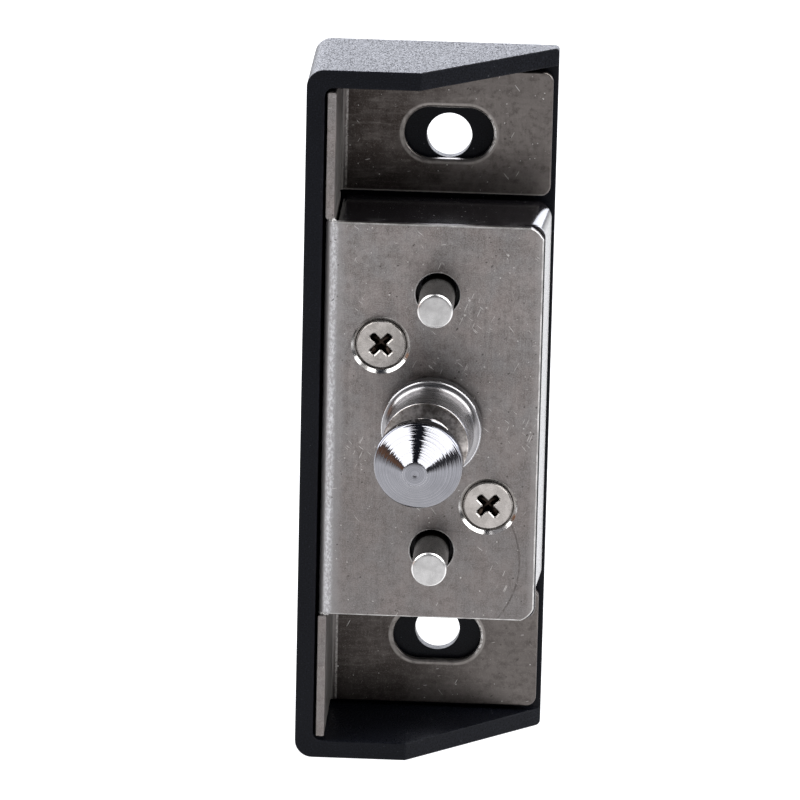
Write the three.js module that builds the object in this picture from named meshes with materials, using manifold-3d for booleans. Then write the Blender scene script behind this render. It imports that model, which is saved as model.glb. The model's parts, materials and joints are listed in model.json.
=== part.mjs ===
// Strike unit of an electric rim lock: a powder-coated tray, a bent steel bracket that lines it,
// a moulded block behind the bracket's front plate, a self-aligning conical striker, and two
// sprung ejector pins that push the door open when the lock lets the striker go.
//
// Millimetres. +Z is up, +Y points into the door frame, the pins point to -Y.
// The origin is the middle of the tray's back face, which screws to the frame.

import * as THREE from 'three';
import { mergeVertices } from 'three/addons/utils/BufferGeometryUtils.js';
import Module from 'manifold-3d';

const wasm = await Module();
wasm.setup();

const GAP = 0.3; // room left between pieces that rest on each other

// Tray
const TRAY_WIDTH = 35;
const TRAY_DEPTH = 20;
const TRAY_HEIGHT = 102;
const TRAY_WALL = 2.6;
const TRAY_BACK = 2;
const TRAY_KNEE = 16; // length of the end walls before they slope down
const TRAY_CORNER = 2.5;
const TRAY_LEFT = -TRAY_WIDTH / 2;
const TRAY_RIGHT = TRAY_WIDTH / 2;

// Bracket, one bent sheet
const SHEET = 1.2;
const BEND_INSIDE = 0.6;
const BRACKET_LEFT = TRAY_LEFT + TRAY_WALL + 0.4;
const PLATE_FRONT = -TRAY_DEPTH - 0.2;
const PLATE_BACK = PLATE_FRONT + SHEET;
const PLATE_RIGHT = 16.4;
const PLATE_HALF_HEIGHT = 29.1;
const PLATE_CORNER = 1.8;
const TAB_BACK = -TRAY_BACK - GAP;
const TAB_FRONT = TAB_BACK - SHEET;
const TAB_RIGHT = 16.8;
const TAB_LOW = 29.5;
const FLANGE_HALF_HEIGHT = 47.7;
const TAB_CORNER = 1.5;

// Fixing holes: a slot in each tab over a round hole in the tray
const FIXING_X = 2.1;
const FIXING_RISE = 0.5; // how far the fixing holes' middle is above the striker's axis
const SLOT_Z = 37.8;
const TRAY_HOLE_Z = 37.2;
const TRAY_HOLE_R = 3.25;
const SLOT_LENGTH = 12.8;
const SLOT_WIDTH = 7.6;

// Block and its rear cover
const AXIS_X = 1.6; // the striker and both ejectors stand on this line
const BLOCK_LEFT = BRACKET_LEFT + SHEET + 0.4;
const BLOCK_RIGHT = 17.1; // at the back; the side slopes in to BLOCK_FRONT_RIGHT at the plate
const BLOCK_FRONT_RIGHT = 15.9;
const BLOCK_HALF_HEIGHT = 28.8;
const BLOCK_FRONT = PLATE_BACK + 0.35;
const COVER_BACK = -TRAY_BACK - GAP;
const COVER_FRONT = COVER_BACK - 1.3;
const BLOCK_BACK = COVER_FRONT - GAP;
const COVER_SCREW_XS = [-9.5, 13.2];
const COVER_SCREW_Z = 25.2;
const COVER_SCREW_R = 1.25;
const COVER_SCREW_HEAD_R = 2.1;
const COVER_SCREW_LENGTH = 9;

// Plate screws
const SCREW_DX = 7.9;
const SCREW_DZ = 11.7;
const SCREW_DROP = 0.4; // how far the two screws' middle is below the striker's axis
const SCREW_HEAD_R = 3.55;
const SCREW_R = 1.95;
const SCREW_SINK = 0.3;
const SCREW_LENGTH = 12;
const COUNTERSINK_R = 4.2;
const INSERT_R = 2.8;
const INSERT_LENGTH = 7.5;
const INSERT_FRONT = BLOCK_FRONT + 0.8;
const SCREW_BORE_END = PLATE_FRONT + SCREW_SINK + SCREW_LENGTH + 0.6;

// Ejector pins
const EJECTOR_Z = 19;
const EJECTOR_R = 2.5;
const EJECTOR_REACH = 9;
const EJECTOR_HOLE_R = 3.2;
const EJECTOR_GUIDE_R = 2.6;
const EJECTOR_BORE_R = 4.4;
const EJECTOR_SHOULDER = BLOCK_FRONT + 2.25;
const CLIP_THICKNESS = 0.5;
const CLIP_R = 4;
const CLIP_FRONT = EJECTOR_SHOULDER + GAP;
const WASHER_FRONT = CLIP_FRONT + CLIP_THICKNESS + GAP;
const WASHER_THICKNESS = 0.6;
const SPRING_FRONT = WASHER_FRONT + WASHER_THICKNESS + GAP;
const SPRING_BACK = COVER_FRONT - GAP;
const SPRING_MEAN_R = 3.5;
const SPRING_WIRE_R = 0.3;
const SPRING_TURNS = 5;

// Striker, measured along its own axis from the swivel centre towards the tip
const SWIVEL_Y = -17.1;
const SWIVEL_REST = -3.45; // degrees to the left, where it stands at rest
const PLATE_TO_SWIVEL = SWIVEL_Y - PLATE_FRONT;
const COLLAR_R = 7.1;
const COLLAR_FACE = PLATE_TO_SWIVEL + 3.45;
const COLLAR_BACK_EDGE = PLATE_TO_SWIVEL + 0.9;
const SHANK_R = 6.1;
const SHANK_FACE = PLATE_TO_SWIVEL + 10.6;
const NECK_R = 3.6;
const HEAD_R = 6.2;
const HEAD_BACK = PLATE_TO_SWIVEL + 18.7;
const HEAD_RIM = 2.3;
const TIP_R = 1.7;
const TIP = PLATE_TO_SWIVEL + 25.1;
const TAIL_R = 3;
const THREAD_R = 2.5;
const TAIL_STEP = -1.5;
const TAIL_END = -7.6;
const STRIKER_HOLE_R = 4.5;

// Swivel seat behind the plate
const RING_R = 6;
const RING_HALF = 1.2;
const RING_BORE_R = 3.3;
const SOCKET_R = 6.25;
const NUT_ROOM_R = 5.8;
const NUT_ACROSS = 8;
const NUT_HEIGHT = 4.6;

const COARSE = 24;
const FINE = 40;

// ---------------------------------------------------------------- booleans

function toSolid(geometry) {
  const bare = geometry.clone();
  bare.deleteAttribute('normal');
  bare.deleteAttribute('uv');
  const merged = mergeVertices(bare, 1e-4);
  const triangles = [];
  const index = merged.index.array;
  for (let i = 0; i < index.length; i += 3) {
    const [a, b, c] = [index[i], index[i + 1], index[i + 2]];
    if (a !== b && b !== c && c !== a) triangles.push(a, b, c);
  }
  return new wasm.Manifold(new wasm.Mesh({
    numProp: 3,
    vertProperties: new Float32Array(merged.attributes.position.array),
    triVerts: new Uint32Array(triangles),
  }));
}

function toGeometry(solid) {
  const mesh = solid.getMesh();
  const geometry = new THREE.BufferGeometry();
  geometry.setAttribute('position', new THREE.BufferAttribute(mesh.vertProperties, 3));
  geometry.setIndex(new THREE.BufferAttribute(mesh.triVerts, 1));
  return geometry;
}

function join(first, ...others) {
  const sum = others.reduce((total, piece) => total.add(toSolid(piece)), toSolid(first));
  return toGeometry(sum);
}

function cut(first, ...tools) {
  const rest = tools.reduce((total, tool) => total.subtract(toSolid(tool)), toSolid(first));
  return toGeometry(rest);
}

// ------------------------------------------------------------ shape helpers

// A flat outline in X and Z, made solid between two depths.
function prismY(shape, yFront, yBack, curveSegments = 8) {
  const geometry = new THREE.ExtrudeGeometry(shape, {
    depth: yBack - yFront,
    bevelEnabled: false,
    curveSegments,
  });
  return geometry.rotateX(Math.PI / 2).translate(0, yBack, 0);
}

// A flat outline in X and Y, made solid between two heights.
function prismZ(shape, zLow, zHigh, curveSegments = 8) {
  const geometry = new THREE.ExtrudeGeometry(shape, {
    depth: zHigh - zLow,
    bevelEnabled: false,
    curveSegments,
  });
  return geometry.translate(0, 0, zLow);
}

// A rectangle with its own radius at each corner, in the order: low left, low right,
// high right, high left.
function roundedRectangle(x0, x1, z0, z1, radii) {
  const [lowLeft, lowRight, highRight, highLeft] = radii;
  const shape = new THREE.Shape();
  shape.moveTo(x0 + lowLeft, z0);
  shape.lineTo(x1 - lowRight, z0);
  if (lowRight) shape.absarc(x1 - lowRight, z0 + lowRight, lowRight, -Math.PI / 2, 0, false);
  shape.lineTo(x1, z1 - highRight);
  if (highRight) shape.absarc(x1 - highRight, z1 - highRight, highRight, 0, Math.PI / 2, false);
  shape.lineTo(x0 + highLeft, z1);
  if (highLeft) shape.absarc(x0 + highLeft, z1 - highLeft, highLeft, Math.PI / 2, Math.PI, false);
  shape.lineTo(x0, z0 + lowLeft);
  if (lowLeft) shape.absarc(x0 + lowLeft, z0 + lowLeft, lowLeft, Math.PI, 1.5 * Math.PI, false);
  return shape;
}

function boxBetween(low, high) {
  const size = high.map((value, axis) => value - low[axis]);
  const centre = high.map((value, axis) => (value + low[axis]) / 2);
  return new THREE.BoxGeometry(...size).translate(...centre);
}

// A round solid about a line along Y, from [radius, y] pairs listed towards +Y.
function turned(profile, segments, x = 0, z = 0) {
  const points = profile.map(([radius, y]) => new THREE.Vector2(radius, y));
  return new THREE.LatheGeometry(points, segments).translate(x, 0, z);
}

function rod(radius, yFront, yBack, segments, x, z) {
  return turned([[0, yFront], [radius, yFront], [radius, yBack], [0, yBack]], segments, x, z);
}

function ringY(inner, outer, yFront, yBack, segments, x, z) {
  const profile = [[inner, yFront], [outer, yFront], [outer, yBack], [inner, yBack], [inner, yFront]];
  return turned(profile, segments, x, z);
}

function circlePath(x, z, radius) {
  return new THREE.Path().absarc(x, z, radius, 0, 2 * Math.PI, true);
}

function material(color, roughness, metalness) {
  return new THREE.MeshStandardMaterial({ color, roughness, metalness });
}

function named(name, geometry, finish) {
  const mesh = new THREE.Mesh(geometry, finish);
  mesh.name = name;
  return mesh;
}

// ------------------------------------------------------------------- tray

function trayGeometry() {
  const halfHeight = TRAY_HEIGHT / 2;
  const outline = roundedRectangle(TRAY_LEFT, TRAY_RIGHT, -halfHeight, halfHeight,
    [TRAY_CORNER, 0.6, 0.6, TRAY_CORNER]);
  const body = prismY(outline, -TRAY_DEPTH, 0);

  const inside = roundedRectangle(TRAY_LEFT + TRAY_WALL, TRAY_RIGHT + 5,
    -halfHeight + TRAY_WALL, halfHeight - TRAY_WALL, [1, 0, 0, 1]);
  const hollow = prismY(inside, -TRAY_DEPTH - 1, -TRAY_BACK);

  const kneeX = TRAY_LEFT + TRAY_KNEE;
  const slope = new THREE.Shape([
    new THREE.Vector2(kneeX, -TRAY_DEPTH - 1),
    new THREE.Vector2(TRAY_RIGHT + 1, -TRAY_DEPTH - 1),
    new THREE.Vector2(TRAY_RIGHT + 1, -TRAY_BACK),
    new THREE.Vector2(TRAY_RIGHT, -TRAY_BACK),
    new THREE.Vector2(kneeX, -TRAY_DEPTH),
  ]);
  const wedge = prismZ(slope, -halfHeight - 1, halfHeight + 1);

  const holes = [-TRAY_HOLE_Z, TRAY_HOLE_Z].map((z) => (
    rod(TRAY_HOLE_R, -5, 1, COARSE, FIXING_X, FIXING_RISE + z)));
  return cut(body, hollow, wedge, ...holes);
}

// ----------------------------------------------------------------- bracket

// The flange with one bent leg, seen from above: the leg leaves the flange at yBend, and the
// flange's other edge is at yFree.
function bentProfile(yBend, yFree, legRight) {
  const towardsFree = Math.sign(yFree - yBend);
  const inside = BEND_INSIDE;
  const outside = BEND_INSIDE + SHEET;
  const centreX = BRACKET_LEFT + outside;
  const centreY = yBend + towardsFree * outside;
  const toLeg = -towardsFree * Math.PI / 2;
  const shape = new THREE.Shape();
  shape.moveTo(legRight, yBend);
  shape.lineTo(centreX, yBend);
  shape.absarc(centreX, centreY, outside, toLeg, -towardsFree * Math.PI, towardsFree > 0);
  shape.lineTo(BRACKET_LEFT, yFree);
  shape.lineTo(BRACKET_LEFT + SHEET, yFree);
  shape.lineTo(BRACKET_LEFT + SHEET, centreY);
  shape.absarc(centreX, centreY, inside, -towardsFree * Math.PI, toLeg, towardsFree < 0);
  shape.lineTo(legRight, yBend + towardsFree * SHEET);
  return shape;
}

// The plate screws stand on a diagonal: the upper one (side 1) to the left, the lower one (-1)
// to the right.
const screwX = (side) => AXIS_X - side * SCREW_DX;
const screwZ = (side) => side * SCREW_DZ - SCREW_DROP;

function slotPath(x, z, length, width) {
  const radius = width / 2;
  const reach = length / 2 - radius;
  const path = new THREE.Shape();
  path.absarc(x - reach, z, radius, Math.PI / 2, 1.5 * Math.PI, false);
  path.absarc(x + reach, z, radius, -Math.PI / 2, Math.PI / 2, false);
  return path;
}

// What a rounded sheet corner loses: a square less the quarter circle that stays. The corner
// points to +X, and to +Z or -Z as signZ says.
function cornerTool(x, z, radius, signZ, yFront, yBack) {
  const over = 1;
  const centreZ = z - signZ * radius;
  const outerZ = z + signZ * over;
  const square = boxBetween([x - radius, yFront, Math.min(centreZ, outerZ)],
    [x + over, yBack, Math.max(centreZ, outerZ)]);
  return cut(square, rod(radius, yFront - over, yBack + over, COARSE, x - radius, centreZ));
}

function bracketGeometry() {
  const tabProfile = bentProfile(TAB_BACK, -TRAY_DEPTH, TAB_RIGHT);
  const plateProfile = bentProfile(PLATE_FRONT, TAB_BACK, PLATE_RIGHT);
  const spine = boxBetween([BRACKET_LEFT, -TRAY_DEPTH + 2, -FLANGE_HALF_HEIGHT],
    [BRACKET_LEFT + SHEET, TAB_BACK - 2, FLANGE_HALF_HEIGHT]);
  const sheet = join(spine,
    prismZ(plateProfile, -PLATE_HALF_HEIGHT, PLATE_HALF_HEIGHT),
    prismZ(tabProfile, TAB_LOW, FLANGE_HALF_HEIGHT),
    prismZ(tabProfile, -FLANGE_HALF_HEIGHT, -TAB_LOW));

  const tools = [];
  for (const side of [-1, 1]) {
    const slot = slotPath(FIXING_X, FIXING_RISE + side * SLOT_Z, SLOT_LENGTH, SLOT_WIDTH);
    tools.push(prismY(slot, TAB_FRONT - 1, TAB_BACK + 1, 12));
    tools.push(cornerTool(TAB_RIGHT, side * FLANGE_HALF_HEIGHT, TAB_CORNER, side,
      TAB_FRONT - 1, TAB_BACK + 1));
    tools.push(cornerTool(TAB_RIGHT, side * TAB_LOW, TAB_CORNER, -side,
      TAB_FRONT - 1, TAB_BACK + 1));
    tools.push(cornerTool(PLATE_RIGHT, side * PLATE_HALF_HEIGHT, PLATE_CORNER, side,
      PLATE_FRONT - 1, PLATE_BACK + 1));
    tools.push(rod(EJECTOR_HOLE_R, PLATE_FRONT - 1, PLATE_BACK + 1, COARSE,
      AXIS_X, side * EJECTOR_Z));
    tools.push(turned([
      [0, PLATE_FRONT - 1],
      [COUNTERSINK_R + 1, PLATE_FRONT - 1],
      [COUNTERSINK_R - SHEET - 1, PLATE_BACK + 1],
      [0, PLATE_BACK + 1],
    ], COARSE, screwX(side), screwZ(side)));
  }
  tools.push(rod(STRIKER_HOLE_R, PLATE_FRONT - 1, PLATE_BACK + 1, COARSE, AXIS_X, 0));
  return cut(sheet, ...tools);
}

// ------------------------------------------------------- block and its cover

function socketProfile() {
  const steps = 6;
  const reach = Math.asin(NUT_ROOM_R / SOCKET_R);
  const profile = [[0, BLOCK_FRONT - 1], [SOCKET_R, BLOCK_FRONT - 1]];
  for (let step = 0; step <= steps; step += 1) {
    const angle = Math.PI / 2 - (Math.PI / 2 - reach) * (step / steps);
    profile.push([SOCKET_R * Math.sin(angle), SWIVEL_Y + SOCKET_R * Math.cos(angle)]);
  }
  profile.push([NUT_ROOM_R, BLOCK_BACK + 1], [0, BLOCK_BACK + 1]);
  return profile;
}

// The block before boring: its right side slopes in towards the plate.
function bareBlock() {
  const outline = roundedRectangle(BLOCK_LEFT, BLOCK_RIGHT, -BLOCK_HALF_HEIGHT, BLOCK_HALF_HEIGHT,
    [0.8, 2.4, 2.4, 0.8]);
  const geometry = prismY(outline, BLOCK_FRONT, BLOCK_BACK);
  const points = geometry.attributes.position;
  const narrowing = (BLOCK_FRONT_RIGHT - BLOCK_LEFT) / (BLOCK_RIGHT - BLOCK_LEFT);
  const middle = (BLOCK_FRONT + BLOCK_BACK) / 2;
  for (let i = 0; i < points.count; i += 1) {
    if (points.getY(i) > middle) continue;
    points.setX(i, BLOCK_LEFT + (points.getX(i) - BLOCK_LEFT) * narrowing);
  }
  return geometry;
}

function blockGeometry() {
  const tools = [turned(socketProfile(), COARSE, AXIS_X, 0)];
  for (const side of [-1, 1]) {
    const z = side * EJECTOR_Z;
    tools.push(rod(EJECTOR_GUIDE_R, BLOCK_FRONT - 1, EJECTOR_SHOULDER + 1, COARSE, AXIS_X, z));
    tools.push(rod(EJECTOR_BORE_R, EJECTOR_SHOULDER, BLOCK_BACK + 1, COARSE, AXIS_X, z));
    const insertBack = INSERT_FRONT + INSERT_LENGTH + 0.2;
    tools.push(turned([
      [0, BLOCK_FRONT - 1],
      [INSERT_R + 0.2, BLOCK_FRONT - 1],
      [INSERT_R + 0.2, insertBack],
      [SCREW_R + 0.25, insertBack],
      [SCREW_R + 0.25, SCREW_BORE_END],
      [0, SCREW_BORE_END],
    ], COARSE, screwX(side), screwZ(side)));
    for (const x of COVER_SCREW_XS) {
      tools.push(rod(COVER_SCREW_R + 0.2, BLOCK_BACK - COVER_SCREW_LENGTH, BLOCK_BACK + 1, 16,
        x, side * COVER_SCREW_Z));
    }
  }
  return cut(bareBlock(), ...tools);
}

function coverGeometry() {
  const outline = roundedRectangle(BLOCK_LEFT + 0.2, BLOCK_RIGHT - 0.2,
    -BLOCK_HALF_HEIGHT + 0.2, BLOCK_HALF_HEIGHT - 0.2, [0.8, 2.2, 2.2, 0.8]);
  const sink = COVER_SCREW_HEAD_R - COVER_SCREW_R;
  const tools = [];
  for (const x of COVER_SCREW_XS) {
    for (const side of [-1, 1]) {
      tools.push(turned([
        [0, COVER_FRONT - 1],
        [COVER_SCREW_R + 0.25, COVER_FRONT - 1],
        [COVER_SCREW_R + 0.25, COVER_BACK - sink - 0.1],
        [COVER_SCREW_HEAD_R + 0.35, COVER_BACK],
        [COVER_SCREW_HEAD_R + 0.35, COVER_BACK + 1],
        [0, COVER_BACK + 1],
      ], 16, x, side * COVER_SCREW_Z));
    }
  }
  return cut(prismY(outline, COVER_FRONT, COVER_BACK), ...tools);
}

function coverScrewGeometry() {
  const headTop = COVER_BACK - 0.1;
  const sink = COVER_SCREW_HEAD_R - COVER_SCREW_R;
  const tipY = headTop - COVER_SCREW_LENGTH;
  return turned([
    [0, tipY],
    [COVER_SCREW_R, tipY + 1.2],
    [COVER_SCREW_R, headTop - sink],
    [COVER_SCREW_HEAD_R, headTop],
    [0, headTop],
  ], 16);
}

// ------------------------------------------------------------ plate screws

// A countersunk screw with its head's middle at the origin, its shank towards +Y.
function plateScrewGeometry() {
  const rim = 0.1;
  const cone = SCREW_HEAD_R - SCREW_R;
  const body = turned([
    [0, 0],
    [SCREW_HEAD_R, 0],
    [SCREW_HEAD_R, rim],
    [SCREW_R, rim + cone],
    [SCREW_R, SCREW_LENGTH - 0.6],
    [SCREW_R - 0.6, SCREW_LENGTH],
    [0, SCREW_LENGTH],
  ], COARSE);
  const wing = boxBetween([-2.1, -1, -0.45], [2.1, 1.3, 0.45]);
  const otherWing = wing.clone().rotateY(Math.PI / 2);
  return cut(body, wing, otherWing).rotateY(Math.PI / 4);
}

function insertGeometry() {
  return ringY(SCREW_R + 0.2, INSERT_R, 0, INSERT_LENGTH, COARSE, 0, 0);
}

// ---------------------------------------------------------------- ejectors

function ejectorPinGeometry() {
  const tip = PLATE_FRONT - EJECTOR_REACH;
  const chamfer = 0.35;
  const grooveFront = CLIP_FRONT - 0.15;
  const grooveBack = CLIP_FRONT + CLIP_THICKNESS + 0.15;
  return turned([
    [0, tip],
    [EJECTOR_R - chamfer, tip],
    [EJECTOR_R, tip + chamfer],
    [EJECTOR_R, grooveFront],
    [EJECTOR_R - 0.6, grooveFront],
    [EJECTOR_R - 0.6, grooveBack],
    [EJECTOR_R, grooveBack],
    [EJECTOR_R, SPRING_FRONT],
    [0, SPRING_FRONT],
  ], COARSE);
}

function clipGeometry() {
  const mouth = Math.PI / 5;
  const inner = EJECTOR_R - 0.6 + 0.15;
  const shape = new THREE.Shape();
  shape.absarc(0, 0, CLIP_R, mouth, 2 * Math.PI - mouth, false);
  shape.absarc(0, 0, inner, 2 * Math.PI - mouth, mouth, true);
  return prismY(shape, CLIP_FRONT, CLIP_FRONT + CLIP_THICKNESS, 20);
}

class Helix extends THREE.Curve {
  getPoint(t, target = new THREE.Vector3()) {
    const angle = 2 * Math.PI * SPRING_TURNS * t;
    const front = SPRING_FRONT + SPRING_WIRE_R;
    const back = SPRING_BACK - SPRING_WIRE_R;
    const y = front + (back - front) * t;
    return target.set(SPRING_MEAN_R * Math.cos(angle), y, SPRING_MEAN_R * Math.sin(angle));
  }
}

function springGeometry() {
  const section = new THREE.Shape();
  section.absarc(0, 0, SPRING_WIRE_R, 0, 2 * Math.PI, false);
  return new THREE.ExtrudeGeometry(section, {
    steps: SPRING_TURNS * 12,
    curveSegments: 3,
    bevelEnabled: false,
    extrudePath: new Helix(),
  });
}

// ----------------------------------------------------------------- striker

// The striker's own axis runs along -Y from the swivel centre at the origin.
function strikerGeometry() {
  const fillet = 0.6;
  return turned([
    [0, -TIP],
    [TIP_R, -TIP],
    [HEAD_R, -HEAD_BACK - HEAD_RIM],
    [HEAD_R, -HEAD_BACK - 0.3],
    [HEAD_R - 0.3, -HEAD_BACK],
    [NECK_R, -HEAD_BACK],
    [NECK_R, -SHANK_FACE],
    [SHANK_R - 0.3, -SHANK_FACE],
    [SHANK_R, -SHANK_FACE + 0.3],
    [SHANK_R, -COLLAR_FACE - fillet],
    [SHANK_R + 0.18, -COLLAR_FACE - 0.18],
    [SHANK_R + fillet, -COLLAR_FACE],
    [COLLAR_R - 0.3, -COLLAR_FACE],
    [COLLAR_R, -COLLAR_FACE + 0.3],
    [COLLAR_R, -COLLAR_BACK_EDGE],
    [TAIL_R + 0.6, -PLATE_TO_SWIVEL - 0.4],
    [TAIL_R, -PLATE_TO_SWIVEL - 0.4],
    [TAIL_R, -TAIL_STEP],
    [THREAD_R, -TAIL_STEP],
    [THREAD_R, -TAIL_END - 0.4],
    [THREAD_R - 0.4, -TAIL_END],
    [0, -TAIL_END],
  ], FINE);
}

function seatRingGeometry() {
  const steps = 6;
  const reach = Math.asin(RING_HALF / RING_R);
  const profile = [[RING_BORE_R, -RING_HALF]];
  for (let step = 0; step <= steps; step += 1) {
    const angle = -reach + 2 * reach * (step / steps);
    profile.push([RING_R * Math.cos(angle), RING_R * Math.sin(angle)]);
  }
  profile.push([RING_BORE_R, RING_HALF], [RING_BORE_R, -RING_HALF]);
  return turned(profile, COARSE);
}

function strikerWasherGeometry() {
  return ringY(THREAD_R + 0.2, 4.6, RING_HALF + 0.6, RING_HALF + 1.4, COARSE, 0, 0);
}

function lockNutGeometry() {
  const hexagon = new THREE.Shape();
  const cornerR = NUT_ACROSS / 2 / Math.cos(Math.PI / 6);
  for (let corner = 0; corner < 6; corner += 1) {
    const angle = corner * Math.PI / 3;
    const point = [cornerR * Math.cos(angle), cornerR * Math.sin(angle)];
    if (corner === 0) hexagon.moveTo(...point);
    else hexagon.lineTo(...point);
  }
  hexagon.closePath();
  hexagon.holes.push(circlePath(0, 0, THREAD_R + 0.2));
  const front = RING_HALF + 1.7;
  return prismY(hexagon, front, front + NUT_HEIGHT, 12);
}

// ---------------------------------------------------------------- assembly

const powderCoat = () => material(0x16181e, 0.62, 0.1);
const satinNickel = () => material(0x85807c, 0.38, 0.9);
const blackPlastic = () => material(0x141417, 0.35, 0);
const zincPlated = () => material(0xa9a9a6, 0.35, 0.9);
const turnedSteel = () => material(0xb9bbc0, 0.2, 1);
const screwNickel = () => material(0xada49c, 0.3, 0.95);
const springSteel = () => material(0x8d8f93, 0.4, 1);
const brass = () => material(0xb08d4a, 0.35, 1);

const strike = new THREE.Group();
strike.add(named('housing_tray', trayGeometry(), powderCoat()));
strike.add(named('mounting_bracket', bracketGeometry(), satinNickel()));
strike.add(named('pin_block', blockGeometry(), blackPlastic()));
strike.add(named('block_rear_cover', coverGeometry(), blackPlastic()));

let coverScrew = 0;
for (const x of COVER_SCREW_XS) {
  for (const side of [1, -1]) {
    coverScrew += 1;
    const screw = named(`cover_screw_${coverScrew}`, coverScrewGeometry(), zincPlated());
    screw.position.set(x, 0, side * COVER_SCREW_Z);
    strike.add(screw);
  }
}

for (const [place, side] of [['upper', 1], ['lower', -1]]) {
  const screw = named(`plate_screw_${place}`, plateScrewGeometry(), screwNickel());
  screw.position.set(screwX(side), PLATE_FRONT + SCREW_SINK, screwZ(side));
  strike.add(screw);

  const insert = named(`threaded_insert_${place}`, insertGeometry(), brass());
  insert.position.set(screwX(side), INSERT_FRONT, screwZ(side));
  strike.add(insert);

  const ejector = new THREE.Group();
  ejector.position.set(AXIS_X, 0, side * EJECTOR_Z);
  ejector.add(named(`ejector_pin_${place}`, ejectorPinGeometry(), zincPlated()));
  ejector.add(named(`ejector_clip_${place}`, clipGeometry(), springSteel()));
  const washer = ringY(EJECTOR_R + 0.15, 4.1, WASHER_FRONT, WASHER_FRONT + WASHER_THICKNESS,
    COARSE, 0, 0);
  ejector.add(named(`ejector_washer_${place}`, washer, zincPlated()));
  ejector.add(named(`ejector_spring_${place}`, springGeometry(), springSteel()));
  strike.add(ejector);
}

const swivel = new THREE.Group();
swivel.position.set(AXIS_X, SWIVEL_Y, 0);
swivel.add(named('striker_seat_ring', seatRingGeometry(), zincPlated()));
strike.add(swivel);

const strikerAxis = new THREE.Group();
strikerAxis.rotation.z = THREE.MathUtils.degToRad(SWIVEL_REST);
strikerAxis.add(named('striker_pin', strikerGeometry(), turnedSteel()));
strikerAxis.add(named('striker_washer', strikerWasherGeometry(), zincPlated()));
strikerAxis.add(named('striker_lock_nut', lockNutGeometry(), zincPlated()));
swivel.add(strikerAxis);

export default strike;
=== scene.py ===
"""Strike unit of an electric rim lock: the looks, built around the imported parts.

Millimetres inside the script, metres in Blender. +Z is up, the pins point to -Y, and the tray is
open towards +X.
"""

import json
import math
import random

import bmesh
import bpy
from mathutils import Matrix, Vector


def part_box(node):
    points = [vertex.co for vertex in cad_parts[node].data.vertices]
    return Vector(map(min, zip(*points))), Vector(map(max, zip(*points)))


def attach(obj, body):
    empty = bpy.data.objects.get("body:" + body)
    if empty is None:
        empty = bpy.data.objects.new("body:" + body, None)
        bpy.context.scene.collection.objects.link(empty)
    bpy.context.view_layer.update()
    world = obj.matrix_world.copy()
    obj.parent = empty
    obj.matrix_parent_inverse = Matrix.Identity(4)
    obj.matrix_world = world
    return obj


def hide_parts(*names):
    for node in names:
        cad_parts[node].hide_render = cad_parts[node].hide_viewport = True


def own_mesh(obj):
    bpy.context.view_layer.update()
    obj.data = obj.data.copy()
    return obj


MM = 0.001
SMOOTH_ANGLE = math.radians(35)

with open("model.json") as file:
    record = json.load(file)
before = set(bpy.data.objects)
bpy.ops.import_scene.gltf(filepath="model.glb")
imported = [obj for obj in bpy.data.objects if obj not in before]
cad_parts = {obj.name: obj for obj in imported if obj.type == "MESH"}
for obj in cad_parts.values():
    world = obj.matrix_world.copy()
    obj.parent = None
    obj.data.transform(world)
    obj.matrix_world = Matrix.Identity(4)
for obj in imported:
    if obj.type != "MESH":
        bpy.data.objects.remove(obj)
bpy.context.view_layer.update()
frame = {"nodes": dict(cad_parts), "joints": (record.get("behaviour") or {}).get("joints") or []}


# ---------------- places from the frame


def node_box(node):
    """Lowest and highest corner of a CAD node, in millimetres."""
    low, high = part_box(node)
    return low / MM, high / MM


def centre_of(box):
    return (box[0] + box[1]) / 2


def turned_size(box):
    """The centre of a turned node's front, its radius, and its length along Y."""
    low, high = box
    centre = centre_of(box)
    return Vector((centre.x, low.y, centre.z)), (high.x - low.x) / 2, high.y - low.y


def joint(name):
    return next(row for row in frame["joints"] if row["name"] == name)


SIDES = {"upper": 1, "lower": -1}
tray_low, tray_high = node_box("housing_tray")
bracket_low, bracket_high = node_box("mounting_bracket")
screw_boxes = {place: node_box(f"plate_screw_{place}") for place in SIDES}
pin_boxes = {place: node_box(f"ejector_pin_{place}") for place in SIDES}
spring_boxes = {place: node_box(f"ejector_spring_{place}") for place in SIDES}
swivel = Vector(joint("striker_swing")["pos_m"]) / MM
striker_tilt = -sum(joint("striker_swing")["range_deg"]) / 2

# The sheet
SHEET = 1.2
BEND_OUTER = 1.8
PLATE_RIGHT = 16.4
PLATE_HALF_HEIGHT = 29.1
PLATE_CORNER = 1.8
TAB_LOW = 29.5
TAB_CORNER = 1.5
RIM = 0.2  # rounding of a sheared edge
AXIS_X = swivel.x
EJECTOR_HOLE_R = 3.2
STRIKER_HOLE_R = 4.5
COUNTERSINK_R = 4.2
SLOT_X = 2.1
SLOT_RISE = 0.5
SLOT_Z = 37.8
SLOT_LENGTH = 12.8
SLOT_WIDTH = 7.6
TRAY_HOLE_Z = 37.2
TRAY_HOLE_R = 3.25
TRAY_WALL = 2.6
TRAY_BACK = 2
TRAY_KNEE = 16
TRAY_CORNER = 2.5

# The striker
SHANK_RISE = 10.6  # from the plate to the shoulder behind the head


# ---------------- mesh helpers


def arc(x, y, radius, start, end, steps):
    """Points on an arc, ends included. Angles are in degrees."""
    angles = [math.radians(start + (end - start) * k / steps) for k in range(steps + 1)]
    return [(x + radius * math.cos(a), y + radius * math.sin(a)) for a in angles]


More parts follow.
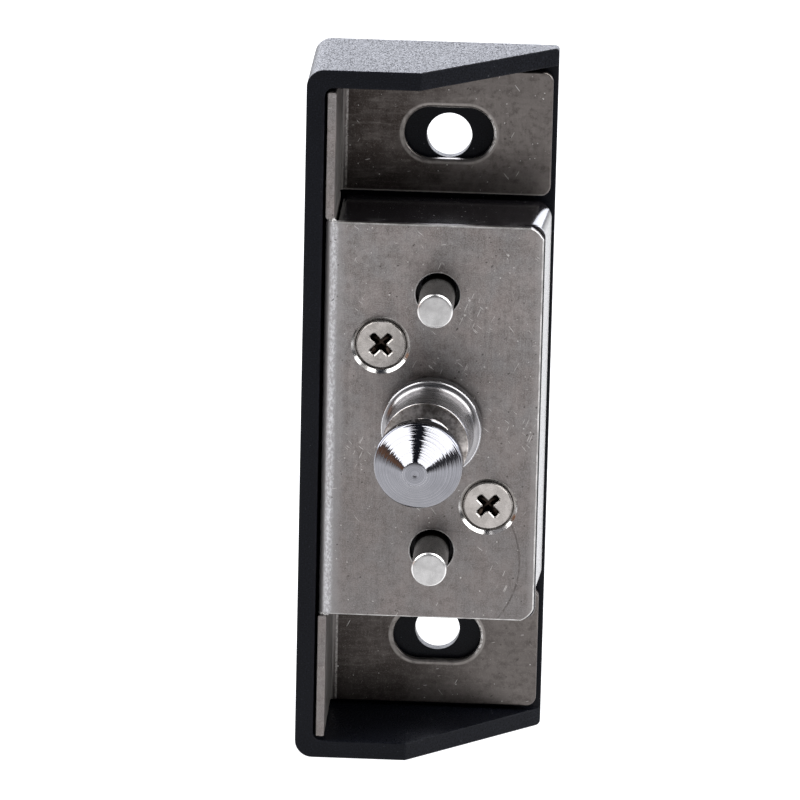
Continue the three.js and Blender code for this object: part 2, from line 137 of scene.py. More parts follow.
def rounded_rectangle(x0, x1, z0, z1, radii, steps=10):
    """Corner radii in the order: low left, low right, high right, high left."""
    a, b, c, d = radii
    points = arc(x0 + a, z0 + a, a, 180, 270, steps)
    points += arc(x1 - b, z0 + b, b, 270, 360, steps)
    points += arc(x1 - c, z1 - c, c, 0, 90, steps)
    points += arc(x0 + d, z1 - d, d, 90, 180, steps)
    return points


def circle(x, z, radius, steps=64):
    return arc(x, z, radius, 0, 360 - 360 / steps, steps - 1)


def linked(name, data):
    """A new object in the scene."""
    thing = bpy.data.objects.new(name, data)
    bpy.context.scene.collection.objects.link(thing)
    return thing


def new_object(name, vertices, faces):
    """A mesh object from points in millimetres."""
    mesh = bpy.data.meshes.new(name)
    mesh.from_pydata([tuple(value * MM for value in v) for v in vertices], [], faces)
    mesh.update()
    return linked(name, mesh)


def with_mesh(thing, change):
    """Runs change on the object's mesh as a bmesh."""
    bm = bmesh.new()
    bm.from_mesh(thing.data)
    change(bm)
    bm.to_mesh(thing.data)
    bm.free()
    thing.data.update()


def solid(name, vertices, faces):
    """A closed mesh object whose faces all look outwards."""
    thing = new_object(name, vertices, faces)
    with_mesh(thing, lambda bm: bmesh.ops.recalc_face_normals(bm, faces=bm.faces))
    return thing


def tube(name, rings):
    """A solid skin over rings of points, closed at both ends."""
    sides = len(rings[0])
    last = (len(rings) - 1) * sides
    faces = [list(range(sides))[::-1], [last + k for k in range(sides)]]
    for first in range(0, last, sides):
        for k in range(sides):
            n = (k + 1) % sides
            faces.append([first + k, first + n, first + sides + n, first + sides + k])
    return solid(name, [point for ring in rings for point in ring], faces)


def prism(name, outline, low, high, place):
    """An outline made solid between two levels. place turns (a, b, level) into a point."""
    return tube(name, [[place(a, b, level) for a, b in outline] for level in (low, high)])


def along_y(a, b, level):
    return (a, level, b)


def along_z(a, b, level):
    return (a, b, level)


def lathe(name, profile, segments, centre=(0, 0, 0)):
    """A closed turned solid about a line along Y, from (radius, y) pairs that start and end
    on the axis."""
    vertices = []
    rings = []
    for radius, y in profile:
        if radius < 1e-6:
            rings.append([len(vertices)])
            vertices.append((centre[0], centre[1] + y, centre[2]))
            continue
        rings.append(list(range(len(vertices), len(vertices) + segments)))
        for k in range(segments):
            angle = 2 * math.pi * k / segments
            vertices.append((centre[0] + radius * math.cos(angle), centre[1] + y,
                             centre[2] + radius * math.sin(angle)))
    faces = []
    for one, two in zip(rings, rings[1:]):
        for k in range(segments):
            n = (k + 1) % segments
            if len(one) == 1 and len(two) == 1:
                continue
            if len(one) == 1:
                faces.append([one[0], two[n], two[k]])
            elif len(two) == 1:
                faces.append([one[k], one[n], two[0]])
            else:
                faces.append([one[k], one[n], two[n], two[k]])
    return solid(name, vertices, faces)


def apply_modifiers(thing):
    depsgraph = bpy.context.evaluated_depsgraph_get()
    mesh = bpy.data.meshes.new_from_object(thing.evaluated_get(depsgraph))
    thing.modifiers.clear()
    thing.data = mesh


def cut(thing, tools):
    """Takes the tools' shapes out of the thing, and removes the tools."""
    for tool in tools:
        step = thing.modifiers.new("cut", "BOOLEAN")
        step.operation = "DIFFERENCE"
        step.solver = "EXACT"
        step.object = tool
    apply_modifiers(thing)
    for tool in tools:
        bpy.data.objects.remove(tool)


def soften_edges(thing, width, segments=3, angle=30):
    """Rounds every edge sharper than the angle."""
    step = thing.modifiers.new("rounding", "BEVEL")
    step.width = width * MM
    step.segments = segments
    step.limit_method = "ANGLE"
    step.angle_limit = math.radians(angle)
    step.miter_outer = "MITER_ARC"
    apply_modifiers(thing)
    return thing


def shade(thing, angle=SMOOTH_ANGLE):
    """Smooth shading that keeps real corners and flat faces."""
    thing.data.polygons.foreach_set("use_smooth", [True] * len(thing.data.polygons))
    thing.data.set_sharp_from_angle(angle=angle)
    step = thing.modifiers.new("flat faces", "WEIGHTED_NORMAL")
    step.keep_sharp = True
    return thing


def refined_copy(node, name, width):
    """A CAD node's shape with welded, softened edges."""
    thing = linked(name, frame["nodes"][node].data.copy())

    def clean(bm):
        bmesh.ops.remove_doubles(bm, verts=bm.verts, dist=0.002 * MM)
        bmesh.ops.dissolve_limit(bm, angle_limit=math.radians(1), verts=bm.verts, edges=bm.edges)

    with_mesh(thing, clean)
    thing.data.materials.clear()
    return soften_edges(thing, width, 2)


def finish_piece(thing, node, body, finish):
    """Gives a piece its material and body, in place of a CAD node where there is one."""
    thing.data.materials.clear()
    thing.data.materials.append(finish)
    if node:
        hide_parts(node)
    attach(thing, body)


# ---------------- shader helpers


class Nodes:
    """Adds nodes to a node tree."""

    def __init__(self, tree):
        self.nodes = tree.nodes
        self.links = tree.links

    def put(self, socket, value):
        """Links a socket, or sets its value. Colours are given as three numbers."""
        if isinstance(value, bpy.types.NodeSocket):
            self.links.new(value, socket)
        elif socket.type == "RGBA":
            socket.default_value = (*value, 1)
        else:
            socket.default_value = value

    def add(self, kind, inputs=None, **settings):
        """A new node, with its settings, and its inputs by name or number."""
        node = self.nodes.new("ShaderNode" + kind)
        for name, value in settings.items():
            setattr(node, name, value)
        for key, value in (inputs or {}).items():
            self.put(node.inputs[key], value)
        return node

    def math(self, operation, a, b=0.0):
        return self.add("Math", {0: a, 1: b}, operation=operation).outputs[0]

    def chain(self, operation, values):
        total = values[0]
        for value in values[1:]:
            total = self.math(operation, total, value)
        return total

    def times(self, *values):
        return self.chain("MULTIPLY", values)

    def most(self, *values):
        return self.chain("MAXIMUM", values)

    def length(self, a, b):
        """The length of a flat vector."""
        return self.math("SQRT", self.math("ADD", self.times(a, a), self.times(b, b)))

    def gap(self, value, level):
        """How far a value in metres is from a level in millimetres."""
        return self.math("ABSOLUTE", self.math("SUBTRACT", value, level * MM))

    def without(self, mask):
        return self.math("SUBTRACT", 1.0, mask)

    def span(self, value, low, high, to_low=0.0, to_high=1.0):
        """Goes smoothly from to_low to to_high as the value goes from low to high."""
        inputs = {"Value": value, "From Min": low, "From Max": high,
                  "To Min": to_low, "To Max": to_high}
        return self.add("MapRange", inputs, interpolation_type="SMOOTHSTEP").outputs["Result"]

    def zone(self, value, start, end, to_low=0.0, to_high=1.0):
        """A span over a value in metres, with its ends in millimetres."""
        return self.span(value, start * MM, end * MM, to_low, to_high)

    def mix(self, factor, a, b):
        return self.add("Mix", {"Factor": factor, 6: a, 7: b}, data_type="RGBA").outputs[2]

    def layers(self, base, *rows):
        """Tones laid over a base, one after another. A row is a mask and a tone."""
        for mask, tone in rows:
            base = self.mix(mask, base, tone)
        return base

    def split(self, vector):
        return self.add("SeparateXYZ", {0: vector}).outputs


class Look(Nodes):
    """A node material on the object's own coordinates. Sizes of texture are in millimetres."""

    def __init__(self, name):
        self.material = bpy.data.materials.new(name)
        self.material.use_nodes = True
        super().__init__(self.material.node_tree)
        self.shader = self.nodes["Principled BSDF"]
        self.place = self.add("TexCoord").outputs["Object"]
        self.across, self.deep, self.up = self.split(self.place)
        self.normal = self.add("NewGeometry").outputs["Normal"]

    def set(self, **values):
        for name, value in values.items():
            self.put(self.shader.inputs[name.replace("_", " ")], value)

    def stretched(self, sizes):
        """Coordinates in which one unit is the given size on each axis."""
        scale = [1 / (size * MM) for size in sizes]
        return self.add("Mapping", {"Vector": self.place, "Scale": scale}).outputs[0]

    def noise(self, size, detail=2.0, rough=0.5, distort=0.0):
        sizes = size if isinstance(size, tuple) else (size, size, size)
        inputs = {"Vector": self.stretched(sizes), "Scale": 1, "Detail": detail,
                  "Roughness": rough, "Distortion": distort}
        return self.add("TexNoise", inputs).outputs["Fac"]

    def lines(self, value, size, detail):
        """Noise along one value in metres, for turned rings."""
        inputs = {"W": self.times(value, 1 / (size * MM)), "Scale": 1, "Detail": detail}
        return self.add("TexNoise", inputs, noise_dimensions="1D").outputs["Fac"]

    def edges(self, radius):
        """1 on rounded or sharp edges within the radius, 0 on flat faces."""
        bevel = self.add("Bevel", {"Radius": radius * MM}, samples=6)
        dot = self.add("VectorMath", {0: bevel.outputs[0], 1: self.normal},
                       operation="DOT_PRODUCT")
        return self.span(dot.outputs["Value"], 0.997, 0.90)

    def cells(self, vector, dimensions):
        """Voronoi cells: the distance to each one's centre, and two random numbers per cell."""
        node = self.add("TexVoronoi", {"Vector": vector, "Scale": 1},
                        voronoi_dimensions=dimensions)
        split = self.add("SeparateColor", {0: node.outputs["Color"]})
        return node.outputs["Distance"], split.outputs[0], split.outputs[1]

    def specks(self, spacing, radius, share):
        """Small round grains: how far apart, how large, and the share of cells with one."""
        distance, chance, size = self.cells(self.stretched((spacing,) * 3), "3D")
        grain = self.math("LESS_THAN", distance, self.times(size, radius / spacing))
        return self.times(grain, self.math("LESS_THAN", chance, share))

    def facing(self, turn, sizes):
        """The front view's X and Z, turned and divided by two sizes, as a flat vector."""
        flat = self.add("CombineXYZ", {0: self.across, 1: self.up}).outputs[0]
        inputs = {"Vector": flat, "Rotation": (0, 0, math.radians(turn)),
                  "Scale": (sizes[0] * MM, sizes[1] * MM, 1)}
        return self.add("Mapping", inputs, vector_type="TEXTURE").outputs[0]

    def toward(self, axis, way):
        """1 on faces that look along an axis, one way or the other, 0 on all others."""
        return self.math("GREATER_THAN", self.times(self.split(self.normal)[axis], way), 0.8)

    def forward(self):
        return self.toward(1, -1.0)

    def upward(self):
        return self.toward(2, 1.0)

    def flecks(self, length, width, turn, share, reach=0.34):
        """Marks on faces that look forward: dots, or short strokes at the given angle."""
        distance, chance, size = self.cells(self.facing(turn, (length, width)), "2D")
        mark = self.math("LESS_THAN", distance, self.times(size, reach))
        return self.times(mark, self.math("LESS_THAN", chance, share), self.forward())

    def arc_line(self, x, z, radius, half_width):
        """A thin circle in the front view, in millimetres."""
        wide = self.math("SUBTRACT", self.across, x * MM)
        tall = self.math("SUBTRACT", self.up, z * MM)
        off = self.gap(self.length(wide, tall), radius)
        return self.zone(off, half_width * 1.6, half_width * 0.6)

    def swayed(self, amount):
        """The surface's normal, leaned round the Y axis, one way or the other, by an amount."""
        lean = self.times(amount, 1 / (6 * MM))
        sideways = self.add("CombineXYZ", {0: self.times(self.up, self.times(lean, -1.0)),
                                           2: self.times(self.across, lean)})
        world = self.add("VectorTransform", {0: sideways.outputs[0]}, vector_type="VECTOR",
                         convert_from="OBJECT", convert_to="WORLD")
        total = self.add("VectorMath", {0: self.normal, 1: world.outputs[0]}, operation="ADD")
        unit = self.add("VectorMath", {0: total.outputs[0]}, operation="NORMALIZE")
        return unit.outputs[0]

    def bump(self, height, depth, strength, under=None):
        inputs = {"Strength": strength, "Distance": depth * MM, "Height": height}
        if under is not None:
            inputs["Normal"] = under
        return self.add("Bump", inputs).outputs["Normal"]


# ---------------- materials


def powder_coat():
    """Grained black, with painted glints on grains of the tray's top."""
    look = Look("powder_coat")
    patches = look.noise(7, 3)
    grain = look.noise((0.22, 0.40, 0.22), 2, 0.6)
    wear = look.times(look.edges(0.35), look.span(look.noise(1.6, 3), 0.42, 0.7))
    dust = look.most(look.specks(0.7, 0.10, 0.4), look.specks(1.7, 0.16, 0.4))
    chance = look.cells(look.stretched((0.16, 0.30, 0.16)), "3D")[1]
    top = look.math("GREATER_THAN", look.up, (tray_high.z - 1) * MM)
    top = look.times(top, look.upward())
    # painted highlight: grains on the tray's top are painted lighter, as lit glints
    top_painted_glints = look.times(look.span(chance, 0.45, 1.0), top)
    coat = look.mix(patches, (0.0026, 0.0030, 0.0046), (0.0046, 0.0052, 0.0076))
    coat = look.layers(
        coat,
        (look.span(grain, 0.52, 0.72, 0, 0.55), (0.016, 0.018, 0.027)),
        (look.times(wear, 0.35), (0.05, 0.052, 0.062)),
        (look.times(dust, 0.4), (0.13, 0.135, 0.15)),
        (look.times(top_painted_glints, 0.75), (0.075, 0.078, 0.092)))
    look.set(Base_Color=coat, Metallic=0.0, IOR=1.5, Specular_IOR_Level=0.08)
    dull = look.times(look.span(chance, 0.45, 0.0), top, 0.18)
    rough = look.span(grain, 0.30, 0.70, 0.24, 0.44)
    look.set(Roughness=look.math("ADD", rough, dull))
    fine = look.bump(grain, 0.022, 0.8)
    look.set(Normal=look.bump(patches, 0.05, 0.3, fine))
    return look.material


def satin_nickel():
    """The sheet: a scuffed front plate painted darker towards its bottom as shade, a bend painted
    brighter as a highlight, and stained tabs and flange behind with painted shade and painted
    highlights.
    """
    look = Look("satin_nickel")
    across, deep, up = look.across, look.deep, look.up
    smudge = look.noise((9, 8, 6), 6, 0.66, distort=0.9)
    tint = look.noise((3.5, 3, 5), 4, 0.6)
    mottle = look.noise(1.1, 5, 0.65)
    grain = look.noise(0.17, 2, 0.6)
    brush = look.noise((0.25, 0.5, 11), 3, 0.6)
    rolled = look.noise((5, 0.6, 0.7), 4, 0.65, distort=0.6)
    rubbing = look.noise((0.16, 0.5, 6), 3, 0.7)
    wiping = look.noise((5, 0.5, 0.30), 4, 0.7, distort=0.5)
    glints = look.noise((0.3, 0.5, 0.55), 4, 0.75)
    grime_and_shade = (0.100, 0.087, 0.080)
    dark_tone = (0.030, 0.024, 0.021)
    painted_highlight_tone = (0.50, 0.475, 0.455)

    # Where things are: in front of or behind a depth, on the flange, and near the middle height
    plate_back, recess_start = -18.5, -16.0
    flange_inside = (-12.7, -13.1)
    bend_middle, crease_middle = -13.25, -12.55
    height = look.math("ABSOLUTE", up)
    plate_height = (PLATE_HALF_HEIGHT + 0.1) * MM
    recess = look.zone(deep, plate_back, recess_start)
    on_plate = look.zone(deep, plate_back, plate_back - 0.2)
    bend = look.times(look.zone(across, -10.8, -13.0), look.zone(deep, recess_start, plate_back),
                      look.math("LESS_THAN", height, plate_height))
    bend_painted_highlight = look.times(look.zone(look.gap(across, bend_middle), 0.9, 0.1), bend,
                        look.span(glints, 0.42, 0.60, 0.25, 1))
    rolled_edge = look.zone(across, PLATE_RIGHT - 1.3, PLATE_RIGHT - 0.4)

    metal = look.mix(look.span(smudge, 0.36, 0.64), (0.142, 0.126, 0.120), (0.228, 0.209, 0.202))
    metal = look.layers(
        metal,
        (look.span(tint, 0.42, 0.70, 0, 0.5), (0.215, 0.180, 0.168)),
        (look.span(tint, 0.56, 0.34, 0, 0.5), (0.168, 0.168, 0.170)),
        (look.span(mottle, 0.40, 0.72, 0, 0.75), grime_and_shade),
        (look.span(rubbing, 0.42, 0.75, 0, 0.20), (0.30, 0.282, 0.272)),
        (look.span(wiping, 0.45, 0.78, 0, 0.28), grime_and_shade),
        (look.span(grain, 0.35, 0.7, 0, 0.4), (0.38, 0.362, 0.352)),
        # painted shade: the plate is painted darker towards its bottom
        (look.zone(up, 26, -22, 0, 0.42), (0.090, 0.080, 0.077)),
        # painted highlight: the bend is painted lighter, with a brighter streak along its middle
        (look.times(bend, 0.55), (0.26, 0.258, 0.262)),
        (look.times(bend_painted_highlight, 0.8), (0.60, 0.60, 0.62)),
        (look.times(rolled_edge, 0.28), (0.34, 0.328, 0.322)))

    # Behind the plate: stains with painted shade that deepens towards the flange, a pressed ring
    # round each slot, and painted highlights on the slots' ends, the tabs' lower edges and beside the
    # bend
    # painted shade: darker towards the flange wall, broken up by noise
    shade_towards_flange = look.math("ADD", look.zone(across, 16, -12),
                          look.span(look.noise(5, 5, 0.65), 0.3, 0.7, -0.28, 0.28))
    wide = look.math("SUBTRACT", look.gap(across, SLOT_X), (SLOT_LENGTH - SLOT_WIDTH) / 2 * MM)
    tall = look.math("SUBTRACT", look.gap(up, SLOT_RISE), SLOT_Z * MM)
    away = look.length(look.math("MAXIMUM", wide, 0.0), tall)
    slot_r = SLOT_WIDTH / 2
    ring = look.times(look.zone(away, slot_r + 0.80, slot_r + 0.55),
                      look.span(mottle, 0.3, 0.6, 0.35, 0.8))
    # painted highlight at each slot's right end
    slot_end_highlight = look.times(look.zone(away, slot_r + 0.42, slot_r + 0.28),
                       look.zone(across, SLOT_X + 5.2, SLOT_X + 6.2),
                       look.span(glints, 0.40, 0.56))
    # painted highlight along the tabs' lower edges
    tab_edge_highlight = look.zone(height, TAB_LOW + 0.34, TAB_LOW + 0.16)
    # painted highlights beside the bend: streaks, brighter on faces that look forward, and a bright
    # line along the crease
    side = look.times(look.zone(across, -12.3, -12.6), look.span(brush, 0.40, 0.62))
    bend_side_highlight_tone = look.mix(look.forward(), (0.36, 0.345, 0.335), (0.165, 0.155, 0.150))
    crease_highlight = look.times(look.zone(look.gap(across, crease_middle), 0.22, 0.08),
                        look.span(glints, 0.38, 0.60, 0.2, 1))
    recess_stain_and_shade = look.mix(shade_towards_flange, (0.145, 0.130, 0.122), (0.036, 0.029, 0.026))
    recess_stain_and_shade = look.layers(
        recess_stain_and_shade,
        (look.span(rolled, 0.45, 0.75, 0, 0.30), (0.21, 0.190, 0.176)),
        (look.span(mottle, 0.45, 0.70, 0, 0.45), dark_tone),
        # darker towards the lower tab's bottom
        (look.zone(up, -25, -38, 0, 0.30), dark_tone),
        (look.span(grain, 0.50, 0.75, 0, 0.32), (0.20, 0.182, 0.168)),
        (ring, (0.25, 0.232, 0.218)),
        (look.times(slot_end_highlight, 0.85), (0.85, 0.83, 0.80)),
        (look.times(tab_edge_highlight, 0.6), painted_highlight_tone),
        (look.zone(across, *flange_inside, 0, 0.6), (0.17, 0.160, 0.153)),
        (look.times(side, 0.6), bend_side_highlight_tone),
        (look.times(crease_highlight, 0.75), painted_highlight_tone))

    # Marks: pits, one scuff round the lower screw, dots, strokes and fine scribbles
    pits = look.most(look.flecks(0.8, 0.7, 20, 0.05, 0.2), look.flecks(1.7, 0.8, 50, 0.03, 0.16))
    scuff = look.times(look.arc_line(1.0, -20.5, 13.2, 0.11), look.zone(across, 9.5, 11.5),
                       look.span(glints, 0.36, 0.54, 0.15, 1), on_plate)
    dots = look.most(look.flecks(0.7, 0.7, 10, 0.05, 0.15), look.flecks(1.6, 1.6, 30, 0.04, 0.10))
    strokes = look.most(look.flecks(2.3, 0.20, 62, 0.006), look.flecks(1.9, 0.18, -52, 0.005),
                        look.flecks(1.1, 0.16, 12, 0.005))
    scribbles = look.most(look.flecks(2.0, 0.15, 68, 0.06), look.flecks(1.5, 0.15, -38, 0.07))
    scribbles = look.times(scribbles, look.span(look.noise(8, 1), 0.58, 0.62), on_plate)
    dust = look.most(dots, look.times(strokes, look.span(smudge, 0.35, 0.6, 0.2, 1)), scribbles)
    metal = look.layers(
        metal,
        # the stained tone behind the plate, with its painted shade and painted highlights
        (recess, recess_stain_and_shade),
        (look.times(pits, 0.7), (0.050, 0.044, 0.040)),
        (look.times(scuff, 0.8), (0.082, 0.072, 0.068)),
        (look.times(dust, 0.6), (0.55, 0.53, 0.51)))

    # Dust, the painted light on the bend, the painted highlights on the tabs' lower edges and the
    # slots' ends, the shaded flange and a band low on the upper tab are less metallic, so that their
    # tone shows
    inner = look.times(look.zone(across, *flange_inside), look.without(look.forward()),
                       look.math("GREATER_THAN", height, plate_height))
    painted_highlights_behind = look.times(look.most(tab_edge_highlight, slot_end_highlight), recess)
    sheen = look.times(look.zone(up, 37.5, 30.5, 0, 0.40), recess)
    painted = look.most(dust, look.times(bend, 0.8), look.times(inner, 0.8), painted_highlights_behind, sheen)
    look.set(Base_Color=metal, Metallic=look.span(painted, 0, 1, 1, 0.4))
    rough = look.span(brush, 0.3, 0.7, 0.27, 0.36)
    look.set(Roughness=look.math("ADD", rough, look.span(smudge, 0.3, 0.7, 0.0, 0.08)))
    fine = look.bump(grain, 0.012, 0.7, look.bump(brush, 0.007, 0.5))
    look.set(Normal=look.bump(mottle, 0.014, 0.4, fine))
    return look.material


def black_plastic(name, gloss):
    """Moulded plastic with dust, and powdery scuffs near its front on faces that look aside."""
    look = Look(name)
    grain = look.noise(0.35, 3, 0.6)
    dust = look.most(look.specks(0.6, 0.09, 0.5), look.specks(1.5, 0.15, 0.5))
    powder = look.times(look.zone(look.deep, -15, -18), look.without(look.forward()),
                        look.span(look.noise(2.2, 3), 0.45, 0.75),
                        look.span(look.noise(0.2, 2), 0.45, 0.6))
    black = look.mix(look.noise(6, 3), (0.0040, 0.0036, 0.0044), (0.0075, 0.0068, 0.0080))
    black = look.layers(
        black,
        (look.times(dust, 0.55), (0.34, 0.33, 0.33)),
        (look.times(powder, 0.35), (0.22, 0.215, 0.22)))
    look.set(Base_Color=black, Metallic=0.0, IOR=1.5, Specular_IOR_Level=gloss)
    look.set(Roughness=look.span(grain, 0.3, 0.7, 0.10, 0.20))
    look.set(Normal=look.bump(grain, 0.010, 0.5))
    return look.material


def plated(name, dark, light, low, high, worn=(0.75, 0.74, 0.72), shade_from=None, metallic=1.0,
           rim_from=None):
    """Plain plated metal with soft clouding, tiny pits and rubbed edges. The part deeper than
    the shade level is painted dark as shade, and a turned end's rim is bright from the
    radius rim_from, both in millimetres."""
    look = Look(name)
    cloud = look.noise(1.6, 4, 0.55)
    grain = look.noise(0.16, 3, 0.6)
    metal = look.layers(
        look.mix(look.span(cloud, 0.35, 0.68), dark, light),
        (look.times(look.specks(0.9, 0.07, 0.25), 0.5), (0.06, 0.055, 0.05)),
        (look.times(look.edges(0.12), 0.85), worn))
    if rim_from is not None:
        radius = look.length(look.across, look.up)
        rim = look.times(look.zone(radius, rim_from - 0.08, rim_from),
                         look.math("LESS_THAN", look.deep, 0.3 * MM),
                         look.span(cloud, 0.3, 0.5, 0.5, 1))
        metal = look.mix(rim, metal, worn)
    # painted shade: the part deeper than the given level is painted dark
    if shade_from is not None:
        grime_and_shade = look.zone(look.deep, shade_from, shade_from + 0.14)
        metal = look.mix(grime_and_shade, metal, (0.022, 0.016, 0.013))
    look.set(Base_Color=metal, Metallic=metallic)
    look.set(Roughness=look.span(grain, 0.3, 0.7, low, high))
    marks = look.most(look.flecks(1.4, 0.2, 35, 0.06), look.flecks(1.1, 0.2, -60, 0.06))
    fine = look.bump(grain, 0.006, 0.6)
    look.set(Normal=look.bump(marks, 0.006, 0.5, fine))
    return look.material


def turned_metal(name, dark, light, low, high, shoulder_level):
    """Lathe-turned metal about the object's own Y axis: rings that follow the tool, and a
    brown mottled shoulder at one level on the axis, in millimetres."""
    look = Look(name)
    deep = look.deep
    along = look.math("ADD", deep, look.length(look.across, look.up))
    rings = look.lines(along, 0.09, 3)
    grooves = look.lines(along, 0.32, 4)
    cloud = look.noise(1.8, 4, 0.6)
    cone = look.math("LESS_THAN", deep, (shoulder_level - 10) * MM)
    shank = look.times(look.zone(deep, shoulder_level, shoulder_level + 0.4), 0.6)
    uneven = look.times(look.span(grooves, 0.35, 0.68), look.span(cone, 0, 1, 0.18, 0.6))
    mottle = look.mix(look.span(look.noise(1.3, 5, 0.7), 0.35, 0.68), (0.20, 0.178, 0.162),
                      (0.66, 0.62, 0.59))
    shoulder = look.zone(look.gap(deep, shoulder_level), 0.12, 0.06)
    flange = look.zone(deep, shoulder_level + 6.0, shoulder_level + 7.4)
    metal = look.layers(
        look.mix(look.span(rings, 0.3, 0.7), dark, light),
        (shank, (0.54, 0.52, 0.51)),
        (uneven, dark),
        (look.span(cloud, 0.4, 0.75, 0, 0.35), dark),
        # the shoulder is painted brown and mottled: partly its dirty turned face, partly a painted
        # reflection of the head's dark back and the head's shadow
        (shoulder, mottle),
        (look.times(flange, 0.5), (0.13, 0.13, 0.14)),
        # painted highlight: the turned edges are painted near white
        (look.times(look.edges(0.12), 0.9), (0.92, 0.92, 0.94)))
    look.set(Base_Color=metal, Metallic=1.0, Anisotropic=0.6, Anisotropic_Rotation=0.25)
    tangent = look.add("Tangent", direction_type="RADIAL", axis="Y")
    look.set(Tangent=tangent.outputs[0])
    rough = look.span(grooves, 0.3, 0.7, low, high)
    rough = look.math("ADD", rough, look.times(shank, 0.22))
    look.set(Roughness=look.math("ADD", rough, look.times(shoulder, 0.2)))
    sway = look.times(look.math("SUBTRACT", grooves, 0.5), look.span(cone, 0, 1, 0.10, 0.46))
    look.set(Normal=look.bump(rings, 0.002, 0.5, look.swayed(sway)))
    return look.material


POWDER = powder_coat()
NICKEL = satin_nickel()
PLASTIC = black_plastic("black_plastic", 0.42)
DULL_PLASTIC = black_plastic("dull_plastic", 0.05)
ZINC = plated("zinc_plate", (0.36, 0.355, 0.35), (0.47, 0.465, 0.46), 0.34, 0.48)
# painted shadow on each pin's body just behind the plate's hole
PIN_STEEL = plated("zinc_pin", (0.36, 0.354, 0.350), (0.46, 0.454, 0.448), 0.26, 0.36,
                   (0.78, 0.77, 0.76), bracket_low.y - 0.75 - pin_boxes["upper"][0].y,
                   rim_from=turned_size(pin_boxes["upper"])[1] - 0.15)
TORN = plated("torn_metal", (0.40, 0.39, 0.38), (0.95, 0.94, 0.92), 0.15, 0.3, metallic=0.35)
STEEL = turned_metal("turned_steel", (0.150, 0.150, 0.164), (0.335, 0.337, 0.362), 0.09, 0.19,
                     shoulder_level=bracket_low.y - swivel.y - SHANK_RISE)
RUBBED = plated("rubbed_rim", (0.30, 0.29, 0.28), (0.56, 0.55, 0.54), 0.26, 0.38,
                (0.52, 0.51, 0.50), metallic=0.6)
# painted shade: near black walls, so that the gaps round the pins read as shadow
HOLE_WALL_SHADE = plated("hole_wall_painted_shade", (0.003, 0.003, 0.003), (0.007, 0.006, 0.006), 0.4, 0.5,
               (0.02, 0.019, 0.018))
SINK = plated("countersink_cut", (0.40, 0.39, 0.38), (0.66, 0.65, 0.64), 0.12, 0.22)
# painted shade inside the screws' cross recess
SCREW = plated("screw_nickel", (0.30, 0.280, 0.263), (0.40, 0.375, 0.355), 0.24, 0.34,
               shade_from=screw_boxes["upper"][0].y + 0.15)
SPRING = plated("spring_steel", (0.22, 0.225, 0.235), (0.33, 0.335, 0.345), 0.30, 0.42)
BRASS = plated("insert_brass", (0.42, 0.28, 0.09), (0.56, 0.39, 0.15), 0.28, 0.40,
               (0.80, 0.62, 0.32))


# ---------------- tray


def make_tray():
    """A rounded box, hollowed, its top and bottom walls cut to a slope, with two fixing holes."""
    spare = 1  # how far the cutting tools reach past the tray
    outline = rounded_rectangle(tray_low.x, tray_high.x, tray_low.z, tray_high.z,
                                [TRAY_CORNER, 0.6, 0.6, TRAY_CORNER])
    tray = prism("tray_shell", outline, tray_low.y, tray_high.y, along_y)
    inside = rounded_rectangle(tray_low.x + TRAY_WALL, tray_high.x + 5, tray_low.z + TRAY_WALL,
                               tray_high.z - TRAY_WALL, [1.2, 0.2, 0.2, 1.2])
    knee = tray_low.x + TRAY_KNEE
    wedge = [
        (knee, tray_low.y - spare),
        (tray_high.x + spare, tray_low.y - spare),
        (tray_high.x + spare, -TRAY_BACK),
        (tray_high.x, -TRAY_BACK),
        (knee, tray_low.y),
    ]
    tools = [
        prism("hollow", inside, tray_low.y - spare, -TRAY_BACK, along_y),
        prism("slope", wedge, tray_low.z - spare, tray_high.z + spare, along_z),
    ]
    for side in (-1, 1):
        hole = circle(SLOT_X, SLOT_RISE + side * TRAY_HOLE_Z, TRAY_HOLE_R, 48)
        tools.append(prism("hole", hole, -TRAY_BACK - spare, spare, along_y))
    cut(tray, tools)
    soften_edges(tray, 0.32, 3, 32)
    shade(tray)
    finish_piece(tray, "housing_tray", "frame", POWDER)


# ---------------- bracket

# The bracket is drawn flat, as it is punched, and then bent. In the flat, u runs from the front
# plate (below 0) over the side flange to the tabs, z is the height, and t the depth from the
# outer face.
BEND_LENGTH = math.pi / 2 * (BEND_OUTER - SHEET / 2)
FLANGE_FRONT = bracket_low.y + BEND_OUTER
FLANGE_BACK = bracket_high.y - BEND_OUTER
FLANGE_LENGTH = FLANGE_BACK - FLANGE_FRONT
BEND_X = bracket_low.x + BEND_OUTER
BEND_STEPS = 12


def plate_u(x):
    return -BEND_LENGTH - (x - BEND_X)


def tab_u(x):
    return FLANGE_LENGTH + BEND_LENGTH + (x - BEND_X)


def bent(u, z, t):
    """Where a point of the flat sheet goes when the plate and the tabs are bent."""
    is_tab_level = abs(z) > (PLATE_HALF_HEIGHT + TAB_LOW) / 2
    middle_r = BEND_OUTER - SHEET / 2
    r = BEND_OUTER - t
    if u < 0 and not is_tab_level:
        turn = min(-u / middle_r, math.pi / 2)
        x = BEND_X - r * math.cos(turn) + max(0, -u - BEND_LENGTH)
        return (x, FLANGE_FRONT - r * math.sin(turn), z)
    if u > FLANGE_LENGTH and is_tab_level:
        turn = min((u - FLANGE_LENGTH) / middle_r, math.pi / 2)
        x = BEND_X - r * math.cos(turn) + max(0, u - FLANGE_LENGTH - BEND_LENGTH)
        return (x, FLANGE_BACK + r * math.sin(turn), z)
    return (bracket_low.x + t, FLANGE_FRONT + u, z)


